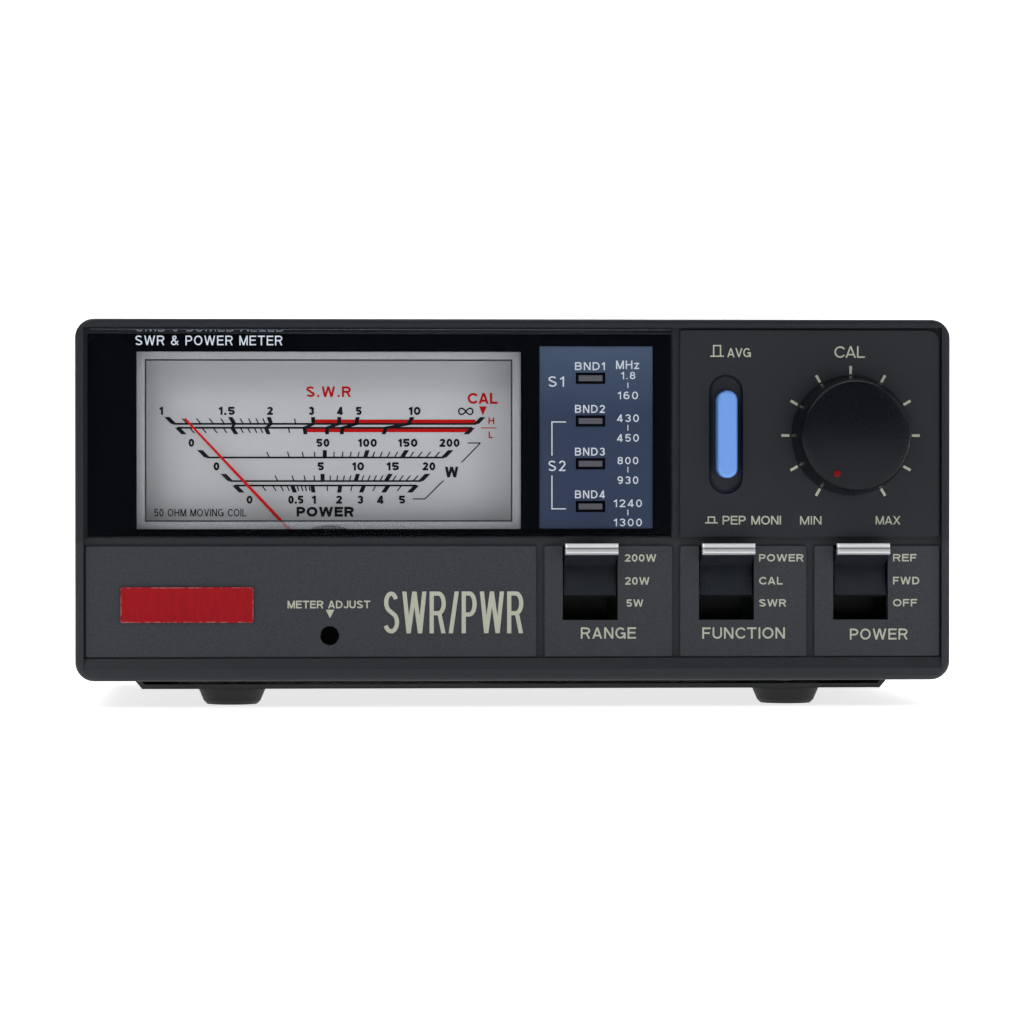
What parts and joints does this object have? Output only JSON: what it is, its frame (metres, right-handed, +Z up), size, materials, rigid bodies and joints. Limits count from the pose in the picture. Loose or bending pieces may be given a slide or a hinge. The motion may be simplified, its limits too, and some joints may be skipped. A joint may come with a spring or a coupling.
{
  "type": "swr meter",
  "caption": "Bench SWR and power meter: moving-coil dial behind a dark pane, band panel, lever switches, push button and calibration knob, coax sockets at the rear.",
  "frame": {"origin": "on the table under the middle of the bounding box", "axes": "+X to the right seen from the front, +Z up, the front panel faces -Y"},
  "size_m": [0.1574, 0.1244, 0.0688],
  "materials": {
    "bezel_plastic": "fine spark texture",
    "badge_red": "satin",
    "pane_clear": "polished acrylic",
    "mask_black": "printed film behind the pane",
    "band_blue": "printed sheet",
    "led_diffuser": "translucent, unlit",
    "led_lens": "moulded resin",
    "meter_clear": "clear styrene",
    "meter_black": "moulded",
    "dial_grey": "printed, matt",
    "iron": "plated",
    "coil_copper": "enamelled winding",
    "needle_red": "paint on thin aluminium",
    "spring_bronze": "bright",
    "lever_black": "moulded",
    "cap_silver": "plated",
    "switch_body": "moulded",
    "button_blue": "satin",
    "spring_steel": "bright",
    "knob_black": "glossy moulding",
    "shaft_metal": "turned",
    "pot_metal": "zinc plate",
    "board_green": "solder mask on glass laminate",
    "chassis_paint": "black, fine texture",
    "cover_paint": "dark grey, fine texture",
    "foot_rubber": "matt",
    "screw_black": "black oxide",
    "screw_zinc": "zinc plate",
    "tin_plate": "tinned steel",
    "socket_nickel": "nickel plate",
    "insulator_white": "fluoropolymer",
    "contact_gold": "gold plate",
    "coupler_copper": "tinned copper and ferrite",
    "jack_black": "moulded"
  },
  "bodies": {
    "case": {"band_panel": "band_blue", "cal_pot": "pot_metal", "chassis": "chassis_paint", "control_board": "board_green", "cover_screws": "screw_black", "dc_jack": "jack_black", "dial_plate": "dial_grey", "foot_front_left": "foot_rubber", "foot_front_right": "foot_rubber", "foot_rear_left": "foot_rubber", "foot_rear_right": "foot_rubber", "foot_screws": "screw_zinc", "front_bezel": "bezel_plastic", "function_switch": "switch_body", "hf_antenna_socket": "socket_nickel", "hf_coupler": "coupler_copper", "hf_input_socket": "socket_nickel", "hf_sensor_box": "tin_plate", "inner_screws": "screw_zinc", "led_lamps": "led_lens", "led_windows": "led_diffuser", "main_board": "board_green", "meter_bridge": "meter_black", "meter_case": "meter_black", "meter_core": "iron", "meter_cover": "meter_clear", "meter_yoke": "iron", "mode_switch": "switch_body", "pot_nut": "screw_zinc", "power_switch": "switch_body", "range_switch": "switch_body", "red_badge": "badge_red", "sensor_lids": "tin_plate", "socket_contacts": "contact_gold", "socket_insulators": "insulator_white", "socket_screws": "screw_zinc", "top_cover": "cover_paint", "uhf_antenna_socket": "socket_nickel", "uhf_coupler": "coupler_copper", "uhf_input_socket": "socket_nickel", "uhf_sensor_box": "tin_plate", "window_mask": "mask_black", "window_pane": "pane_clear"},
    "range_lever": {"range_lever": "lever_black", "range_cap": "cap_silver"},
    "function_lever": {"function_lever": "lever_black", "function_cap": "cap_silver"},
    "power_lever": {"power_lever": "lever_black", "power_cap": "cap_silver"},
    "mode_button": {"mode_button": "button_blue", "mode_spring": "spring_steel"},
    "cal_knob": {"cal_knob": "knob_black", "pot_shaft": "shaft_metal"},
    "movement": {"needle": "needle_red", "moving_coil": "coil_copper", "coil_staff": "spring_steel", "hairspring": "spring_bronze"},
    "zero_adjuster": {"zero_adjuster": "meter_black"},
    "zero_arm": {"zero_arm": "spring_bronze"}
  },
  "joints": [
    {"name": "range_lever_tilt", "type": "hinge", "parent": "case", "child": "range_lever", "pos_m": [0.01347, -0.0388, 0.0221], "axis": [1, 0, 0], "range_deg": [0, 36]},
    {"name": "function_lever_tilt", "type": "hinge", "parent": "case", "child": "function_lever", "pos_m": [0.0377, -0.0388, 0.0221], "axis": [1, 0, 0], "range_deg": [0, 36]},
    {"name": "power_lever_tilt", "type": "hinge", "parent": "case", "child": "power_lever", "pos_m": [0.0616, -0.0388, 0.0221], "axis": [1, 0, 0], "range_deg": [0, 36]},
    {"name": "mode_button_press", "type": "slide", "parent": "case", "child": "mode_button", "axis": [0, 1, 0], "range_m": [0, 0.0025], "stiffness_N_per_m": 200, "springref_m": -0.001, "deforming": ["mode_spring"]},
    {"name": "cal_knob_turn", "type": "hinge", "parent": "case", "child": "cal_knob", "pos_m": [0.0598, -0.0537, 0.0482], "axis": [0, 1, 0], "range_deg": [0, 300]},
    {"name": "movement_swing", "type": "hinge", "parent": "case", "child": "movement", "pos_m": [-0.03265, -0.045, 0.0239], "axis": [0, 1, 0], "range_deg": [-2, 92], "stiffness_Nm_per_rad": 0.0002},
    {"name": "zero_adjuster_turn", "type": "hinge", "parent": "case", "child": "zero_adjuster", "pos_m": [-0.03265, -0.0495, 0.0128], "axis": [0, 1, 0], "range_deg": [-30, 30]},
    {"name": "zero_arm_swing", "type": "hinge", "parent": "case", "child": "zero_arm", "pos_m": [-0.03265, -0.048, 0.0239], "axis": [0, 1, 0], "range_deg": [-3.2, 3.2]}
  ],
  "couplings": [
    {"joint": "zero_arm_swing", "follows": "zero_adjuster_turn", "ratio": -0.099}
  ]
}
